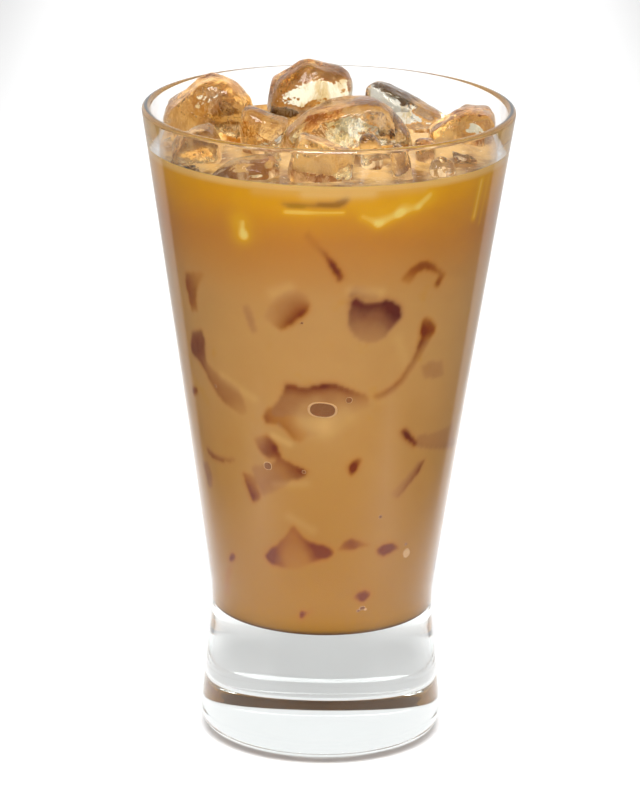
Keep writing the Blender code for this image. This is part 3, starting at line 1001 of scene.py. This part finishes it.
def sunk_block(wall, strip):
    """A closed block of ice behind a strip: its points, its faces and each point's warmth, the share of
    painted light in the painted shade that it gives.
    """
    warm_near, warm_far, rows = strip
    rows = smooth_rows(np.array(rows, float), 3)
    across = 6
    shares = np.linspace(0, 1, across + 1)[None, :, None]
    face = rows[:, None, :3] * (1 - shares) + rows[:, None, 3:] * shares
    turn, height, depth = np.radians(face[..., 0]), face[..., 1] * MM, face[..., 2] * MM
    radius = wall.inner(height) - depth
    outer = np.stack([radius * np.sin(turn), -radius * np.cos(turn), height], axis=2)
    middle = outer.reshape(-1, 3).mean(0)
    inward = np.array([-middle[0], -middle[1], 0.0])
    inward /= np.linalg.norm(inward)
    inner = middle + (outer - middle) * BLOCK_TAPER + inward * BLOCK_DEPTH
    count, wide = outer.shape[:2]
    points = np.concatenate([outer.reshape(-1, 3), inner.reshape(-1, 3)])
    faces = []
    step = count * wide
    for i in range(count - 1):
        for j in range(across):
            a, b, c, d = (i * wide + j, i * wide + j + 1, (i + 1) * wide + j + 1, (i + 1) * wide + j)
            faces.append([a, b, c, d])
            faces.append([a + step, d + step, c + step, b + step])
    rim = [j for j in range(wide)] + [i * wide + across for i in range(1, count)]
    rim += [(count - 1) * wide + j for j in range(across - 1, -1, -1)]
    rim += [i * wide for i in range(count - 2, 0, -1)]
    for first, second in zip(rim, rim[1:] + rim[:1]):
        faces.append([second, first, first + step, second + step])
    warmth = np.tile(warm_near + (warm_far - warm_near) * np.linspace(0, 1, wide), count * 2)
    return points, faces, warmth


def smooth_rows(rows, steps):
    """Puts more rows between the given ones, on a smooth curve through them."""
    ends = np.concatenate([2 * rows[:1] - rows[1:2], rows, 2 * rows[-1:] - rows[-2:-1]])
    made = []
    for i in range(1, len(ends) - 2):
        a, b, c, d = ends[i - 1 : i + 3]
        for k in range(steps):
            t = k / steps
            curve = 2 * b + (c - a) * t + (2 * a - 5 * b + 4 * c - d) * t**2 + (3 * b - a - 3 * c + d) * t**3
            made.append(0.5 * curve)
    made.append(ends[-2])
    result = np.array(made)
    result[:, [2, 5]] = np.maximum(result[:, [2, 5]], LEAST_DEPTH)
    return result


def hidden_ice(wall, count):
    """More strips of sunk ice, round the drink's sides and back."""
    chance = random.Random(71)
    strips = []
    for i in range(count):
        turn = 100 + 160 * ((i * GOLDEN) % 1.0)
        height = 44 + 76 * i / max(count - 1, 1)
        radius = wall.inner(height * MM) / MM
        tilt = chance.uniform(0, 2 * math.pi)
        large = i % 3 != 2
        length = chance.uniform(13, 23) if large else chance.uniform(4, 8)
        width = length * chance.uniform(0.45, 0.75)
        near, far = chance.uniform(0.05, 0.6), chance.uniform(2.4, 4.6)
        bow = chance.uniform(-0.3, 0.3) * width
        rows = []
        for k in range(7):
            along = k / 6 - 0.5
            swell = (1 - abs(2 * along) ** 1.6 * 0.85) * width
            row = []
            for side, depth in ((0.5, near), (-0.5, far)):
                across = side * swell + bow * (1 - 4 * along**2) + chance.gauss(0, 0.06 * width)
                x = along * length * math.cos(tilt) - across * math.sin(tilt)
                up = along * length * math.sin(tilt) + across * math.cos(tilt)
                row += [turn + math.degrees(x / radius), height + up, depth * chance.uniform(0.6, 1.6)]
            rows.append(row)
        warm = chance.uniform(0.1, 0.95)
        strips.append((warm, warm * 0.6, rows))
    return strips


def all_sunk_ice(scene):
    """Every sunk block, from the front's and the hidden ones."""
    wall = Wall(scene.drink_tumbler)
    strips = [*SUNK_ICE.values(), *hidden_ice(wall, scene.drink_ice.hidden_pieces)]
    return [sunk_block(wall, strip) for strip in strips]


# ---------------------------------------------------------------- the drink

# Bright streaks on the drink's side just under the surface, where standing ice gathers light. Each runs
# between two points: degrees round from the front and height for both, how far it glows, and strength.
GLINTS = [
    (-28.9, 128.3, -28.9, 128.5, 0.9, 0.95), (-29.4, 129.5, -29, 131.4, 0.5, 0.35),
    (-29.8, 128.6, -30.2, 131, 2.9, 0.5), (11.5, 134, 17, 132.2, 0.9, 0.36),
    (17, 132.2, 24.2, 134.4, 1, 0.42), (24.2, 134.4, 30.8, 135.4, 0.9, 0.32),
    (30.8, 135.4, 34.8, 138.2, 0.9, 0.36), (16.6, 132.4, 17.8, 132.5, 0.5, 0.22),
    (23.6, 134.2, 24.6, 134.5, 0.7, 0.45), (12, 134.9, 17.4, 133.4, 2.4, 0.2),
    (17.4, 133.4, 25, 135.4, 2.4, 0.25), (25, 135.2, 34, 137.2, 2, 0.18), (-14, 134.9, 5, 135.2, 0.55, 0.55),
    (-30, 137, -8, 135.6, 2.4, 0.14), (-12, 136.3, 36, 137.2, 2.2, 0.2), (57.6, 130, 58.8, 138.5, 0.9, 0.62),
    (62, 128, 63.5, 139, 0.6, 0.25), (138, 131, 146, 133, 1.6, 0.75), (160, 134.5, 176, 134, 1.4, 0.55),
    (214, 130, 216, 133, 1.5, 0.8), (240, 134.5, 258, 133, 1.5, 0.45),
]

# Paler streaks of painted light, just under the surface and round the sunk ice; the same numbers as for the
# glints.
PALE_STREAKS = [
    (-7, 139.3, 14, 139.5, 1.5, 0.45), (-24, 139.4, 32, 139.8, 1.2, 0.3), (-9, 84.4, -1, 83.4, 2.8, 0.42),
    (1, 84, 8, 86.4, 2.8, 0.32), (-8, 88.4, -3, 89.8, 1.2, 0.15), (-22, 80.2, -15, 78.6, 0.9, 0.35),
    (-13.2, 116.8, -19, 115, 1.6, 0.25), (8.5, 116.6, 19.5, 115.8, 1.2, 0.25), (-22.5, 68.2, -8, 69, 1, 0.15),
    (-16, 60.4, -5, 57.4, 1.2, 0.14), (28, 104, 33, 97.5, 1.4, 0.16), (-45, 92.5, -30, 88.8, 1.2, 0.25),
]

MENISCUS_RISE = 0.9 * MM
MENISCUS_WIDTH = 2.4 * MM
MENISCUS_PALE = 1.2 * MM  # over which the side pales up to the surface
BOTTOM_LINE = 1.4 * MM  # how far the painted shade line at the bottom edge reaches above the glass floor
BOTTOM_FADE = 0.8 * MM
LOOK_START = 0.5 * MM  # ice behind the side is looked for from this far outside it
LOOK_DEPTH = 9 * MM
LOOK_ASIDE = 2.5 * MM
FULL_DEPTH = 0.7 * MM  # ice found within this distance gives the full painted shade
SEE_DEPTH = 2.1 * MM  # over which the painted shade of deeper ice fades
SOFT_REACH = 0.8 * MM  # over which the painted shade of ice fades sideways
BED_BOTTOM = 125 * MM  # standing ice reaches no lower
SLACK = 0.2 * MM


def streaks(turn, height, radius, marks):
    """Adds up soft streaks on the drink's side; turn is in degrees, lengths in metres."""
    total = np.zeros(len(turn))
    for first_turn, first_height, last_turn, last_height, glow, strength in marks:
        across = ((turn - first_turn + 180) % 360 - 180) * np.pi / 180 * radius
        up = height - first_height * MM
        long = math.radians(last_turn - first_turn) * radius
        rise = (last_height - first_height) * MM
        share = np.clip((across * long + up * rise) / np.maximum(long**2 + rise**2, 1e-9), 0, 1)
        away = np.hypot(across - share * long, up - share * rise)
        total += strength * np.exp(-((away / (glow * MM)) ** 2))
    return np.clip(total, 0, 1)


def drink_outline(wall, settings):
    """The drink's section from the middle of its underside, up its side and in along its surface."""
    level, overlap = settings.level, settings.overlap
    start = wall.sizes.floor_height + wall.sizes.floor_corner
    rows, curve, rings = 208, 6, 12
    heights = [start + (level + MENISCUS_RISE - start) * i / rows for i in range(1, rows + 1)]
    edge = wall.inner(level) + overlap
    shares = [i / curve for i in range(1, curve + 1)]
    return (
        wall.floor(overlap, 10)[::-1]
        + [(wall.inner(height) + overlap, height) for height in heights]
        + [(edge - MENISCUS_WIDTH * t, level + MENISCUS_RISE * (1 - t) ** 2) for t in shares]
        + [((edge - MENISCUS_WIDTH) * (1 - i / rings), level) for i in range(1, rings + 1)]
    )


def drink_turns():
    """Angles of the drink's columns: close together over the front 190 degrees, wider at the back."""
    front = [math.radians(-95 + 190 * i / 250) for i in range(250)]
    back = [math.radians(95 + 170 * i / 90) for i in range(90)]
    return front + back


def cut_round_ice(data, settings):
    """Cuts the standing ice out of the drink, each piece a hair smaller, so that no gap shows."""
    parts = []
    for ice in [thing.data for thing in bpy.data.objects if thing.name.endswith("_clear")]:
        places = from_points(ice).astype(float) - from_points(ice, "normal") * settings.overlap
        parts.append((places, [p.vertices for p in ice.polygons]))
    cutter = put("ice_cutter", mesh_of("ice_cutter", *joined(parts)))
    drink = put("drink_uncut", data)
    fewer = cutter.modifiers.new("fewer_faces", "DECIMATE")
    fewer.ratio = 0.25
    cut = drink.modifiers.new("room_for_ice", "BOOLEAN")
    cut.object = cutter
    cut.operation = "DIFFERENCE"
    cut.solver = "MANIFOLD"  # closed, fine meshes: the other solver takes minutes on them
    graph = bpy.context.evaluated_depsgraph_get()
    result = bpy.data.meshes.new_from_object(drink.evaluated_get(graph), depsgraph=graph)
    for thing in (cutter, drink):
        bpy.data.objects.remove(thing)
    return result


def softened(data, values, rounds):
    """Values on a mesh's points, drawn towards the mean of each point's neighbours."""
    edges = np.empty(len(data.edges) * 2, np.int32)
    data.edges.foreach_get("vertices", edges)
    first, second = edges[0::2], edges[1::2]
    size = len(values)
    count = np.bincount(first, minlength=size) + np.bincount(second, minlength=size)
    for _ in range(rounds):
        total = np.bincount(first, values[second], size) + np.bincount(second, values[first], size)
        values = 0.45 * values + 0.55 * total / np.maximum(count, 1)
    return values


def ice_behind(tree, place):
    """The nearest ice behind a point of the drink's side or beside it: where, which face and how dark a
    painted shade it gives.
    """
    inward = Vector((-place.x, -place.y, 0)).normalized()
    found, _, face, straight = tree.ray_cast(place - inward * LOOK_START, inward, LOOK_DEPTH)
    if found is not None:
        return found, face, math.exp(-max(straight - FULL_DEPTH, 0) / SEE_DEPTH)
    found, _, face, aside = tree.find_nearest(place, LOOK_ASIDE)
    if found is not None:
        return found, face, 0.35 * math.exp(-((aside / SOFT_REACH) ** 2))
    return None


def ice_shadows(data, wall, sunk):
    """How near the sunk ice comes to each point of the drink's side, which sets its painted shade, and how
    much of that comes from a lit edge of the ice, which turns it to painted reddish light.
    """
    points, faces = joined([block[:2] for block in sunk])
    points = [Vector(p) for p in points]
    warmth = np.concatenate([block[2] for block in sunk])
    tree = BVHTree.FromPolygons(points, faces)
    places = from_points(data).astype(float)
    near = np.zeros(len(places))
    warm = np.zeros(len(places))
    for i in np.flatnonzero(on_side(places, wall) & (places[:, 2] > wall.sizes.floor_height)):
        ice = ice_behind(tree, Vector(places[i]))
        if ice:
            found, face, near[i] = ice
            shares = [1 / ((points[c] - found).length + 1e-6) for c in faces[face]]
            warm[i] = sum(w * warmth[c] for w, c in zip(shares, faces[face])) / sum(shares)
    soft = softened(data, near, 2)
    return soft, softened(data, near * warm, 2) / np.maximum(soft, 1e-4)


def on_side(places, wall):
    """Which of the drink's points lie on the side that touches the glass."""
    return np.hypot(places[:, 0], places[:, 1]) > wall.inner(places[:, 2]) - 2 * SLACK


def store_marks(data, wall, settings, sunk):
    """Keeps on the drink's points what its colour depends on: the painted shade and light of sunk ice, the
    glints and pale streaks of painted light, the pale meniscus and the painted shade line at the bottom edge.
    """
    near, warm = ice_shadows(data, wall, sunk)
    places = from_points(data).astype(float)
    height = places[:, 2]
    turn = np.degrees(np.arctan2(places[:, 0], -places[:, 1]))
    radius = np.hypot(places[:, 0], places[:, 1])
    meniscus = np.clip((height - settings.level) / MENISCUS_PALE + 1, 0, 1) * on_side(places, wall)
    line = wall.sizes.floor_height + BOTTOM_LINE
    store(data, "shade_near_ice", near)
    store(data, "warm_ice", warm)
    store(data, "glint", streaks(turn, height, radius, GLINTS))
    store(data, "pale", np.maximum(0.75 * meniscus, streaks(turn, height, radius, PALE_STREAKS)))
    store(data, "rim", np.clip((line - height) / BOTTOM_FADE, 0, 1))


# ---------------------------------------------------------------- bubbles

# Bubbles against the glass: degrees round from the front, height, width, height across, the tilt in
# degrees, and 1 for a bubble painted bright all over as a highlight. Lengths are millimetres.
BUBBLES = [
    (-0.9, 87.4, 6.6, 3.9, -4, 0), (9.7, 89.8, 1.5, 1.5, 0, 0), (-25.4, 72.5, 2, 2, 0, 0),
    (-8.8, 71.9, 0.9, 0.9, 0, 0), (46.9, 49.3, 2, 2.3, 30, 1), (45.6, 51.7, 0.8, 0.7, 0, 0),
    (22.5, 37.2, 1.5, 1, 10, 0), (20.3, 36.6, 0.9, 0.7, 0, 0), (24.5, 36.8, 0.7, 0.6, 0, 1),
    (28, 60, 0.9, 0.9, 0, 0), (-8.8, 108.5, 0.7, 0.6, 0, 0), (-49.6, 89.6, 0.7, 0.7, 0, 0),
    (96, 84, 1.8, 1.6, 0, 0), (132, 61, 2.6, 1.9, 12, 0), (171, 96, 1.4, 1.4, 0, 0),
    (203, 52, 2.2, 1.6, -20, 0), (238, 78, 1.6, 1.5, 0, 0), (262, 110, 1, 1, 0, 0),
]

# A bubble's section from its middle out: share of its radius, how far it stands into the glass in
# millimetres, and whether that part belongs to the ring of painted highlight.
BUBBLE_SECTION = [
    (0.25, 0.25, 0), (0.5, 0.25, 0), (0.78, 0.26, 0), (0.84, 0.29, 1), (0.9, 0.32, 1), (0.96, 0.29, 1),
    (1, 0.2, 1), (1, 0.05, 1), (0.5, 0.05, 0),
]


def bubble_parts(wall, bubble):
    """Points and faces of one bubble, and which faces are the ring of painted highlight."""
    turn, height, wide, tall, tilt, bright = bubble
    turn, tilt = math.radians(turn), math.radians(tilt)
    segments = 28

    def on_glass(x, up, out):
        z = height * MM + up
        radius = wall.inner(z) + out * MM
        angle = turn + x / radius
        return (radius * math.sin(angle), -radius * math.cos(angle), z)

    def blunt(share):
        return math.copysign(abs(share) ** 0.8, share)

    points = [on_glass(0, 0, BUBBLE_SECTION[0][1]), on_glass(0, 0, BUBBLE_SECTION[-1][1])]
    for share, out, _ in BUBBLE_SECTION:
        for angle in even_turns(segments):
            x = wide * MM / 2 * share * blunt(math.cos(angle))
            up = tall * MM / 2 * share * blunt(math.sin(angle))
            aside = x * math.cos(tilt) - up * math.sin(tilt)
            points.append(on_glass(aside, x * math.sin(tilt) + up * math.cos(tilt), out))
    faces, ring = [], []
    last = 2 + (len(BUBBLE_SECTION) - 1) * segments
    for i in range(segments):
        j = (i + 1) % segments
        faces += [[0, 2 + i, 2 + j], [1, last + j, last + i]]
        ring += [bright, bright]
        for k in range(len(BUBBLE_SECTION) - 1):
            base = 2 + k * segments
            faces.append([base + i, base + segments + i, base + segments + j, base + j])
            ring.append(max(bright, min(BUBBLE_SECTION[k][2], BUBBLE_SECTION[k + 1][2])))
    return points, faces, ring


def even_turns(count):
    return [2 * math.pi * i / count for i in range(count)]


# ---------------------------------------------------------------- operators


class MakeTumbler(bpy.types.Operator):
    """Adds the glass tumbler"""

    bl_idname = "drink.make_tumbler"
    bl_label = "Make tumbler"

    def execute(self, context):
        settings = context.scene.drink_tumbler
        data = turned_mesh("tumbler", Wall(settings).outline(), even_turns(192))
        add_piece("tumbler", data, ["glass"], [clear_glass(settings)])
        return {"FINISHED"}


class MakeStandingIce(bpy.types.Operator):
    """Adds the ice that stands out of the drink, and the loose shards between its pieces"""

    bl_idname = "drink.make_standing_ice"
    bl_label = "Make standing ice"

    def execute(self, context):
        self.settings = context.scene.drink_ice
        self.material = clear_ice(self.settings)
        self.wall = Wall(context.scene.drink_tumbler)
        self.others = []
        for seed, name in enumerate(sorted(STANDING_ICE, key=lambda n: n not in STANDING_SHAPES), 100):
            shape = STANDING_SHAPES.get(name)
            block = standing_block(shape, seed) if shape else frame["nodes"][name].data
            low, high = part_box(name)
            large = (high - low).length > 24 * MM
            self.add_melted(name + "_clear", [name], block, seed, 5 if large else 4, dents=4, rounding=1)
        for number, shape in enumerate(SHARDS):
            seed = 300 + number
            block = shard_block(shape, seed)
            self.add_melted(f"shard_{number + 1}_clear", [], block, seed, 3, dents=2, rounding=0)
        return {"FINISHED"}

    def add_melted(self, name, nodes, block, seed, steps, dents, rounding):
        """Adds a block's melted piece, clear of the glass and of the pieces before it."""
        gap = 0.2 * MM
        places, faces = wrapped_ball(block, steps)
        places = melt(places, faces, self.settings, seed, dents, rounding)
        places = kept_apart(places, places.mean(0), self.others, gap)
        places = kept_inside(places, self.wall, 2 * gap)
        tree = BVHTree.FromPolygons([Vector(p) for p in places], faces)
        self.others.append((places.min(0) - gap, places.max(0) + gap, tree))
        add_piece(name, mesh_of(name, places, faces), nodes, [self.material])


class MakeSunkIce(bpy.types.Operator):
    """Adds the ice that is sunk in the drink"""

    bl_idname = "drink.make_sunk_ice"
    bl_label = "Make sunk ice"

    def execute(self, context):
        blocks = [block[:2] for block in all_sunk_ice(context.scene)]
        data = mesh_of("sunk_ice", *joined(blocks))
        data.set_sharp_from_angle(angle=math.radians(40))
        add_piece("sunk_ice", data, [], [sunk_ice_in_shade_and_light(context.scene.drink_drink)])
        return {"FINISHED"}


class MakeDrink(bpy.types.Operator):
    """Adds the drink, cut round the standing ice, with the painted shade and light that the sunk ice gives it
    """

    bl_idname = "drink.make_drink"
    bl_label = "Make drink"

    def execute(self, context):
        settings = context.scene.drink_drink
        wall = Wall(context.scene.drink_tumbler)
        uncut = turned_mesh("drink", drink_outline(wall, settings), drink_turns())
        data = cut_round_ice(uncut, settings)
        data.name = "drink"
        data.shade_smooth()
        data.set_sharp_from_angle(angle=math.radians(50))
        store_marks(data, wall, settings, all_sunk_ice(context.scene))
        surface, bed = drink_surface(settings), drink_bed(settings)
        finishes = [drink_body(settings), surface, bed]
        add_piece("drink", data, ["coffee"], finishes)
        for face in data.polygons:
            middle = face.center
            inside = math.hypot(middle.x, middle.y) < wall.inner(middle.z) - SLACK
            if face.normal.z > 0.4 and middle.z > settings.level - SLACK:
                face.material_index = finishes.index(surface)
            elif middle.z > BED_BOTTOM and inside:
                face.material_index = finishes.index(bed)
        return {"FINISHED"}


class MakeBubbles(bpy.types.Operator):
    """Adds the air bubbles between the drink and the glass"""

    bl_idname = "drink.make_bubbles"
    bl_label = "Make bubbles"

    def execute(self, context):
        wall = Wall(context.scene.drink_tumbler)
        made = [bubble_parts(wall, bubble) for bubble in BUBBLES]
        data = mesh_of("bubbles", *joined([bubble[:2] for bubble in made]))
        skin = bubble_finish("bubble_skin", 1500.0, (0.27, 0.095, 0.022), (0.36, 0.15, 0.05), 0.35)
        # The pale edge is a painted highlight, where the bubble's rim reflects light.
        edge = bubble_finish("bubble_edge", 900.0, (0.84, 0.56, 0.28), (0.72, 0.42, 0.17), 0.4)
        add_piece("bubbles", data, [], [skin, edge])
        data.polygons.foreach_set("material_index", [mark for bubble in made for mark in bubble[2]])
        return {"FINISHED"}


class MakeStage(bpy.types.Operator):
    """Adds the floor, the light and the camera"""

    bl_idname = "drink.make_stage"
    bl_label = "Make stage"

    def execute(self, context):
        settings = context.scene.drink_stage
        self.make_camera(context, settings)
        self.make_floor(settings)
        self.make_world(context)
        self.make_lamp(settings)
        context.scene.view_settings.view_transform = "Standard"
        context.scene.cycles.max_bounces = 24  # light runs far inside the glass wall and the ice
        context.scene.cycles.glossy_bounces = 16
        context.scene.cycles.transmission_bounces = 24
        return {"FINISHED"}

    def make_camera(self, context, settings):
        data = bpy.data.cameras.new("camera")
        data.sensor_width = 36
        data.lens = settings.lens
        data.clip_start, data.clip_end = 0.05, 50
        camera = put("camera", data)
        rise, roll = settings.camera_rise, settings.camera_roll
        forward = Vector((0, math.cos(rise), -math.sin(rise)))
        right = Vector((1, 0, 0))
        up = right.cross(forward)
        across = right * math.cos(roll) + up * math.sin(roll)
        upward = up * math.cos(roll) - right * math.sin(roll)
        turn = Matrix((across, upward, -forward)).transposed()
        place = Vector(settings.aim) - forward * settings.camera_distance
        camera.matrix_world = Matrix.LocRotScale(place, turn, None)
        context.scene.camera = camera

    def make_floor(self, settings):
        """Pale under the tumbler, greyer in a wedge behind it and dark aside, which the glass mirrors."""
        half = settings.floor_size / 2
        corners = [(-half, -half, 0), (half, -half, 0), (half, half, 0), (-half, half, 0)]
        floor = put("floor", mesh_of("floor", corners, [(0, 1, 2, 3)]))
        sheet = Sheet(bpy.data.materials.new("pale_floor"))
        place = sheet.place()
        back = sheet.axis(place, "Y")
        aside = sheet.maths("ABSOLUTE", sheet.axis(place, "X"), 0.0)
        half_strip, strip_front, wedge_spread = 0.08, -0.055, 1.1
        past_strip = sheet.maths("MAXIMUM", aside - half_strip, strip_front - back)
        off_strip = sheet.between(past_strip, 0.0, 0.08)
        off_wedge = sheet.between(aside - wedge_spread * back, 0.0, 0.05)
        outer = sheet.mix(off_wedge, (0.48, 0.48, 0.48), (0.11, 0.11, 0.11))
        paper = sheet.mix(off_strip, (0.93, 0.93, 0.93), outer)
        floor.data.materials.append(sheet.shade({"Base Color": paper, "Roughness": 0.6}))

    def make_world(self, context):
        """Pale from below up to high walls, dark above them and bright overhead, the same from all sides."""
        context.scene.world = bpy.data.worlds.new("studio")
        sheet = Sheet(context.scene.world)
        up = sheet.axis(sheet.node("ShaderNodeTexCoord").outputs["Generated"], "Z")
        walls = 1.0 - 0.78 * sheet.between(up, 0.70, 0.78)
        overhead = 0.9 * sheet.between(up, 0.86, 0.92)
        background = sheet.tree.nodes["Background"]
        sheet.give(background.inputs["Color"], (1, 1, 1))
        sheet.give(background.inputs["Strength"], walls + overhead)

    def make_lamp(self, settings):
        data = bpy.data.lights.new("front_box", "AREA")
        data.shape = "SQUARE"
        data.size = settings.lamp_size
        data.energy = settings.lamp_power
        lamp = put("front_box", data)
        lamp.location = (0, -1.05, 1.3)
        lamp.rotation_euler = Euler((settings.lamp_tilt, 0, 0))


class DrinkPanel(bpy.types.Panel):
    """Lists the steps that make the drink"""

    bl_idname = "VIEW3D_PT_drink"
    bl_label = "Iced milk coffee"
    bl_space_type = "VIEW_3D"
    bl_region_type = "UI"
    bl_category = "Drink"

    def draw(self, context):
        for group, operators in STEPS:
            box = self.layout.box()
            settings = getattr(context.scene, group)
            for name in settings.__annotations__:
                box.prop(settings, name)
            for operator in operators:
                box.operator(operator.bl_idname)


SETTINGS = {
    "drink_stage": StageSettings,
    "drink_tumbler": TumblerSettings,
    "drink_ice": IceSettings,
    "drink_drink": DrinkSettings,
}
STEPS = [
    ("drink_stage", [MakeStage]),
    ("drink_tumbler", [MakeTumbler]),
    ("drink_ice", [MakeStandingIce, MakeSunkIce]),
    ("drink_drink", [MakeDrink, MakeBubbles]),
]
CLASSES = [*SETTINGS.values(), *(operator for _, group in STEPS for operator in group), DrinkPanel]


def register():
    for made in CLASSES:
        bpy.utils.register_class(made)
    for name, settings in SETTINGS.items():
        setattr(bpy.types.Scene, name, PointerProperty(type=settings))


def unregister():
    for name in SETTINGS:
        delattr(bpy.types.Scene, name)
    for made in reversed(CLASSES):
        bpy.utils.unregister_class(made)


def main():
    register()
    bpy.ops.drink.make_stage()
    bpy.ops.drink.make_tumbler()
    bpy.ops.drink.make_standing_ice()
    bpy.ops.drink.make_sunk_ice()
    bpy.ops.drink.make_drink()
    bpy.ops.drink.make_bubbles()


if __name__ == "__main__":
    main()
